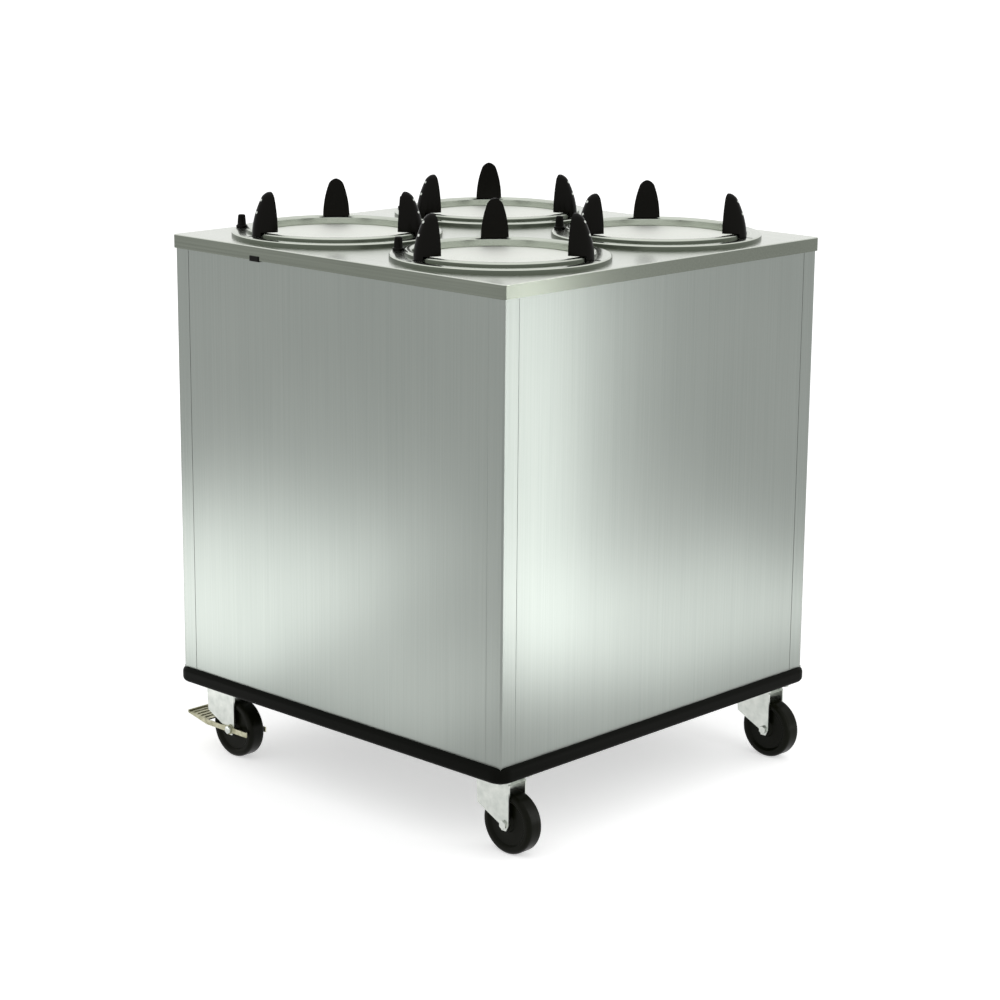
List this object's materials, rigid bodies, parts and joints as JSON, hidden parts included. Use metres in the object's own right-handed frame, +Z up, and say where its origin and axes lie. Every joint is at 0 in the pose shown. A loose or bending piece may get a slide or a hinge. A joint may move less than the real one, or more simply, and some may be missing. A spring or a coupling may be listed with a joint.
{
  "type": "plate dispenser cart",
  "caption": "Square steel cabinet on swivel casters whose sprung platforms lift stacks of plates through rings in the deck.",
  "frame": {"origin": "on the floor under the centre of the cabinet", "axes": "+Z up, -Y towards the front, +X to the right; the braked casters are on -X"},
  "size_m": [0.8216, 0.784, 0.994],
  "materials": {
    "cabinet_steel": "brushed",
    "deck_steel": "brushed",
    "ring_steel": "polished",
    "platform_steel": "satin",
    "frame_steel": "mill",
    "spring_steel": "bright",
    "zinc_steel": "zinc plated",
    "pedal_steel": "yellow zinc plated",
    "black_plastic": "matte",
    "bumper_rubber": "matte",
    "wheel_rubber": "satin"
  },
  "bodies": {
    "cabinet": {"deck": "deck_steel", "front_panel": "cabinet_steel", "right_panel": "cabinet_steel", "back_panel": "cabinet_steel", "left_panel": "cabinet_steel", "post_front_left": "cabinet_steel", "post_front_right": "cabinet_steel", "post_back_left": "cabinet_steel", "post_back_right": "cabinet_steel", "base_frame": "frame_steel", "bumper": "bumper_rubber", "skirt_clip": "black_plastic", "caster_top_plates": "zinc_steel", "dispenser_ring_front_left": "ring_steel", "cage_front_left": "frame_steel", "springs_front_left": "spring_steel", "dispenser_ring_front_right": "ring_steel", "cage_front_right": "frame_steel", "springs_front_right": "spring_steel", "dispenser_ring_back_left": "ring_steel", "cage_back_left": "frame_steel", "springs_back_left": "spring_steel", "dispenser_ring_back_right": "ring_steel", "cage_back_right": "frame_steel", "springs_back_right": "spring_steel"},
    "carrier_front_left": {"carrier_front_left": "platform_steel"},
    "cam_front_left": {"guide_cam_front_left": "frame_steel"},
    "guide_front_left_a": {"plate_guide_front_left_a": "black_plastic"},
    "guide_front_left_b": {"plate_guide_front_left_b": "black_plastic"},
    "guide_front_left_c": {"plate_guide_front_left_c": "black_plastic"},
    "knob_front_left": {"clamp_knob_front_left": "black_plastic"},
    "carrier_front_right": {"carrier_front_right": "platform_steel"},
    "cam_front_right": {"guide_cam_front_right": "frame_steel"},
    "guide_front_right_a": {"plate_guide_front_right_a": "black_plastic"},
    "guide_front_right_b": {"plate_guide_front_right_b": "black_plastic"},
    "guide_front_right_c": {"plate_guide_front_right_c": "black_plastic"},
    "knob_front_right": {"clamp_knob_front_right": "black_plastic"},
    "carrier_back_left": {"carrier_back_left": "platform_steel"},
    "cam_back_left": {"guide_cam_back_left": "frame_steel"},
    "guide_back_left_a": {"plate_guide_back_left_a": "black_plastic"},
    "guide_back_left_b": {"plate_guide_back_left_b": "black_plastic"},
    "guide_back_left_c": {"plate_guide_back_left_c": "black_plastic"},
    "knob_back_left": {"clamp_knob_back_left": "black_plastic"},
    "carrier_back_right": {"carrier_back_right": "platform_steel"},
    "cam_back_right": {"guide_cam_back_right": "frame_steel"},
    "guide_back_right_a": {"plate_guide_back_right_a": "black_plastic"},
    "guide_back_right_b": {"plate_guide_back_right_b": "black_plastic"},
    "guide_back_right_c": {"plate_guide_back_right_c": "black_plastic"},
    "knob_back_right": {"clamp_knob_back_right": "black_plastic"},
    "fork_front_left": {"caster_fork_front_left": "zinc_steel"},
    "wheel_front_left": {"wheel_front_left": "wheel_rubber"},
    "pedal_front_left": {"brake_pedal_front_left": "pedal_steel"},
    "fork_front_right": {"caster_fork_front_right": "zinc_steel"},
    "wheel_front_right": {"wheel_front_right": "wheel_rubber"},
    "fork_back_left": {"caster_fork_back_left": "zinc_steel"},
    "wheel_back_left": {"wheel_back_left": "wheel_rubber"},
    "pedal_back_left": {"brake_pedal_back_left": "pedal_steel"},
    "fork_back_right": {"caster_fork_back_right": "zinc_steel"},
    "wheel_back_right": {"wheel_back_right": "wheel_rubber"}
  },
  "joints": [
    {"name": "platform_slide_front_left", "type": "slide", "parent": "cabinet", "child": "carrier_front_left", "axis": [0, 0, 1], "range_m": [-0.44, 0], "stiffness_N_per_m": 490, "springref_m": 0.1, "deforming": ["springs_front_left"]},
    {"name": "guide_cam_turn_front_left", "type": "hinge", "parent": "cabinet", "child": "cam_front_left", "pos_m": [-0.19, -0.19, 0.9153], "axis": [0, 0, 1], "range_deg": [-30, 0]},
    {"name": "guide_slide_front_left_a", "type": "slide", "parent": "cabinet", "child": "guide_front_left_a", "axis": [0.9511, 0.309, 0], "range_m": [0, 0.0121]},
    {"name": "guide_slide_front_left_b", "type": "slide", "parent": "cabinet", "child": "guide_front_left_b", "axis": [-0.7431, 0.6691, 0], "range_m": [0, 0.0121]},
    {"name": "guide_slide_front_left_c", "type": "slide", "parent": "cabinet", "child": "guide_front_left_c", "axis": [-0.2079, -0.9781, 0], "range_m": [0, 0.0121]},
    {"name": "knob_turn_front_left", "type": "hinge", "parent": "cam_front_left", "child": "knob_front_left", "pos_m": [-0.32284, -0.28651, 0.9223], "axis": [0, 0, 1], "range_deg": [0, 270]},
    {"name": "platform_slide_front_right", "type": "slide", "parent": "cabinet", "child": "carrier_front_right", "axis": [0, 0, 1], "range_m": [-0.44, 0], "stiffness_N_per_m": 490, "springref_m": 0.1, "deforming": ["springs_front_right"]},
    {"name": "guide_cam_turn_front_right", "type": "hinge", "parent": "cabinet", "child": "cam_front_right", "pos_m": [0.19, -0.19, 0.9153], "axis": [0, 0, 1], "range_deg": [-30, 0]},
    {"name": "guide_slide_front_right_a", "type": "slide", "parent": "cabinet", "child": "guide_front_right_a", "axis": [0.9511, 0.309, 0], "range_m": [0, 0.0121]},
    {"name": "guide_slide_front_right_b", "type": "slide", "parent": "cabinet", "child": "guide_front_right_b", "axis": [-0.7431, 0.6691, 0], "range_m": [0, 0.0121]},
    {"name": "guide_slide_front_right_c", "type": "slide", "parent": "cabinet", "child": "guide_front_right_c", "axis": [-0.2079, -0.9781, 0], "range_m": [0, 0.0121]},
    {"name": "knob_turn_front_right", "type": "hinge", "parent": "cam_front_right", "child": "knob_front_right", "pos_m": [0.05716, -0.28651, 0.9223], "axis": [0, 0, 1], "range_deg": [0, 270]},
    {"name": "platform_slide_back_left", "type": "slide", "parent": "cabinet", "child": "carrier_back_left", "axis": [0, 0, 1], "range_m": [-0.44, 0], "stiffness_N_per_m": 490, "springref_m": 0.1, "deforming": ["springs_back_left"]},
    {"name": "guide_cam_turn_back_left", "type": "hinge", "parent": "cabinet", "child": "cam_back_left", "pos_m": [-0.19, 0.19, 0.9153], "axis": [0, 0, 1], "range_deg": [-30, 0]},
    {"name": "guide_slide_back_left_a", "type": "slide", "parent": "cabinet", "child": "guide_back_left_a", "axis": [0.9511, 0.309, 0], "range_m": [0, 0.0121]},
    {"name": "guide_slide_back_left_b", "type": "slide", "parent": "cabinet", "child": "guide_back_left_b", "axis": [-0.7431, 0.6691, 0], "range_m": [0, 0.0121]},
    {"name": "guide_slide_back_left_c", "type": "slide", "parent": "cabinet", "child": "guide_back_left_c", "axis": [-0.2079, -0.9781, 0], "range_m": [0, 0.0121]},
    {"name": "knob_turn_back_left", "type": "hinge", "parent": "cam_back_left", "child": "knob_back_left", "pos_m": [-0.32284, 0.09349, 0.9223], "axis": [0, 0, 1], "range_deg": [0, 270]},
    {"name": "platform_slide_back_right", "type": "slide", "parent": "cabinet", "child": "carrier_back_right", "axis": [0, 0, 1], "range_m": [-0.44, 0], "stiffness_N_per_m": 490, "springref_m": 0.1, "deforming": ["springs_back_right"]},
    {"name": "guide_cam_turn_back_right", "type": "hinge", "parent": "cabinet", "child": "cam_back_right", "pos_m": [0.19, 0.19, 0.9153], "axis": [0, 0, 1], "range_deg": [-30, 0]},
    {"name": "guide_slide_back_right_a", "type": "slide", "parent": "cabinet", "child": "guide_back_right_a", "axis": [0.9511, 0.309, 0], "range_m": [0, 0.0121]},
    {"name": "guide_slide_back_right_b", "type": "slide", "parent": "cabinet", "child": "guide_back_right_b", "axis": [-0.7431, 0.6691, 0], "range_m": [0, 0.0121]},
    {"name": "guide_slide_back_right_c", "type": "slide", "parent": "cabinet", "child": "guide_back_right_c", "axis": [-0.2079, -0.9781, 0], "range_m": [0, 0.0121]},
    {"name": "knob_turn_back_right", "type": "hinge", "parent": "cam_back_right", "child": "knob_back_right", "pos_m": [0.05716, 0.09349, 0.9223], "axis": [0, 0, 1], "range_deg": [0, 270]},
    {"name": "caster_swivel_front_left", "type": "hinge", "parent": "cabinet", "child": "fork_front_left", "pos_m": [-0.33, -0.33, 0.12], "axis": [0, 0, 1], "continuous": true},
    {"name": "wheel_spin_front_left", "type": "hinge", "parent": "fork_front_left", "child": "wheel_front_left", "pos_m": [-0.3, -0.33, 0.0508], "axis": [0, 1, 0], "continuous": true},
    {"name": "brake_pedal_press_front_left", "type": "hinge", "parent": "fork_front_left", "child": "pedal_front_left", "pos_m": [-0.3, -0.33, 0.0508], "axis": [0, -1, 0], "range_deg": [0, 15]},
    {"name": "caster_swivel_front_right", "type": "hinge", "parent": "cabinet", "child": "fork_front_right", "pos_m": [0.33, -0.33, 0.12], "axis": [0, 0, 1], "continuous": true},
    {"name": "wheel_spin_front_right", "type": "hinge", "parent": "fork_front_right", "child": "wheel_front_right", "pos_m": [0.36, -0.33, 0.0508], "axis": [0, 1, 0], "continuous": true},
    {"name": "caster_swivel_back_left", "type": "hinge", "parent": "cabinet", "child": "fork_back_left", "pos_m": [-0.33, 0.33, 0.12], "axis": [0, 0, 1], "continuous": true},
    {"name": "wheel_spin_back_left", "type": "hinge", "parent": "fork_back_left", "child": "wheel_back_left", "pos_m": [-0.3, 0.33, 0.0508], "axis": [0, 1, 0], "continuous": true},
    {"name": "brake_pedal_press_back_left", "type": "hinge", "parent": "fork_back_left", "child": "pedal_back_left", "pos_m": [-0.3, 0.33, 0.0508], "axis": [0, -1, 0], "range_deg": [0, 15]},
    {"name": "caster_swivel_back_right", "type": "hinge", "parent": "cabinet", "child": "fork_back_right", "pos_m": [0.33, 0.33, 0.12], "axis": [0, 0, 1], "continuous": true},
    {"name": "wheel_spin_back_right", "type": "hinge", "parent": "fork_back_right", "child": "wheel_back_right", "pos_m": [0.36, 0.33, 0.0508], "axis": [0, 1, 0], "continuous": true}
  ],
  "couplings": [
    {"joint": "guide_slide_front_left_a", "follows": "guide_cam_turn_front_left", "m_per_rad": -0.022918},
    {"joint": "guide_slide_front_left_b", "follows": "guide_cam_turn_front_left", "m_per_rad": -0.022918},
    {"joint": "guide_slide_front_left_c", "follows": "guide_cam_turn_front_left", "m_per_rad": -0.022918},
    {"joint": "guide_slide_front_right_a", "follows": "guide_cam_turn_front_right", "m_per_rad": -0.022918},
    {"joint": "guide_slide_front_right_b", "follows": "guide_cam_turn_front_right", "m_per_rad": -0.022918},
    {"joint": "guide_slide_front_right_c", "follows": "guide_cam_turn_front_right", "m_per_rad": -0.022918},
    {"joint": "guide_slide_back_left_a", "follows": "guide_cam_turn_back_left", "m_per_rad": -0.022918},
    {"joint": "guide_slide_back_left_b", "follows": "guide_cam_turn_back_left", "m_per_rad": -0.022918},
    {"joint": "guide_slide_back_left_c", "follows": "guide_cam_turn_back_left", "m_per_rad": -0.022918},
    {"joint": "guide_slide_back_right_a", "follows": "guide_cam_turn_back_right", "m_per_rad": -0.022918},
    {"joint": "guide_slide_back_right_b", "follows": "guide_cam_turn_back_right", "m_per_rad": -0.022918},
    {"joint": "guide_slide_back_right_c", "follows": "guide_cam_turn_back_right", "m_per_rad": -0.022918}
  ]
}
